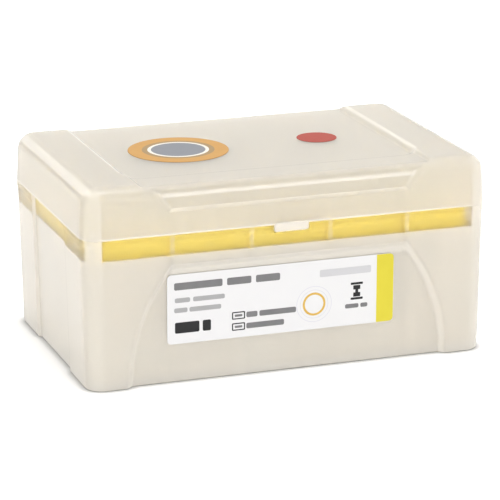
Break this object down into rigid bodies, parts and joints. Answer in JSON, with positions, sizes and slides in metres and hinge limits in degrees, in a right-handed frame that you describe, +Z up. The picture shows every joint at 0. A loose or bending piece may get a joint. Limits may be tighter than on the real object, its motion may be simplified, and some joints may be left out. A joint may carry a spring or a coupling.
{
  "type": "box of pipette tips",
  "caption": "Hinged-lid box of filter pipette tips: frosted base and lid, a yellow tray that holds the tips, a front label and two round lid stickers.",
  "frame": {"origin": "middle of the whole footprint, hinge knuckles and latch tab included, on the surface the box stands on", "axes": "+X along the length, to the right of someone facing the front label; +Y towards the hinge at the back; +Z up"},
  "size_m": [0.124, 0.0832, 0.0596],
  "materials": {
    "frosted_shell": "milky translucent polypropylene, satin outside",
    "yellow_tray": "opaque yellow polypropylene, satin",
    "clear_tip": "clear natural polypropylene",
    "tip_filter": "porous white polyethylene",
    "label_paper": "smooth coated paper, printed",
    "sticker_paper": "smooth coated paper, printed in rings",
    "red_paper": "smooth coated paper"
  },
  "bodies": {
    "box_body": {"base": "frosted_shell", "tray_frame": "yellow_tray", "tip_rack": "yellow_tray", "front_label": "label_paper"},
    "cover": {"lid": "frosted_shell", "lid_sticker": "sticker_paper", "red_dot": "red_paper"}
  },
  "joints": [
    {"name": "lid_hinge", "type": "hinge", "parent": "box_body", "child": "cover", "pos_m": [0, 0.0394, 0.04515], "axis": [-1, 0, 0], "range_deg": [0, 115]}
  ]
}
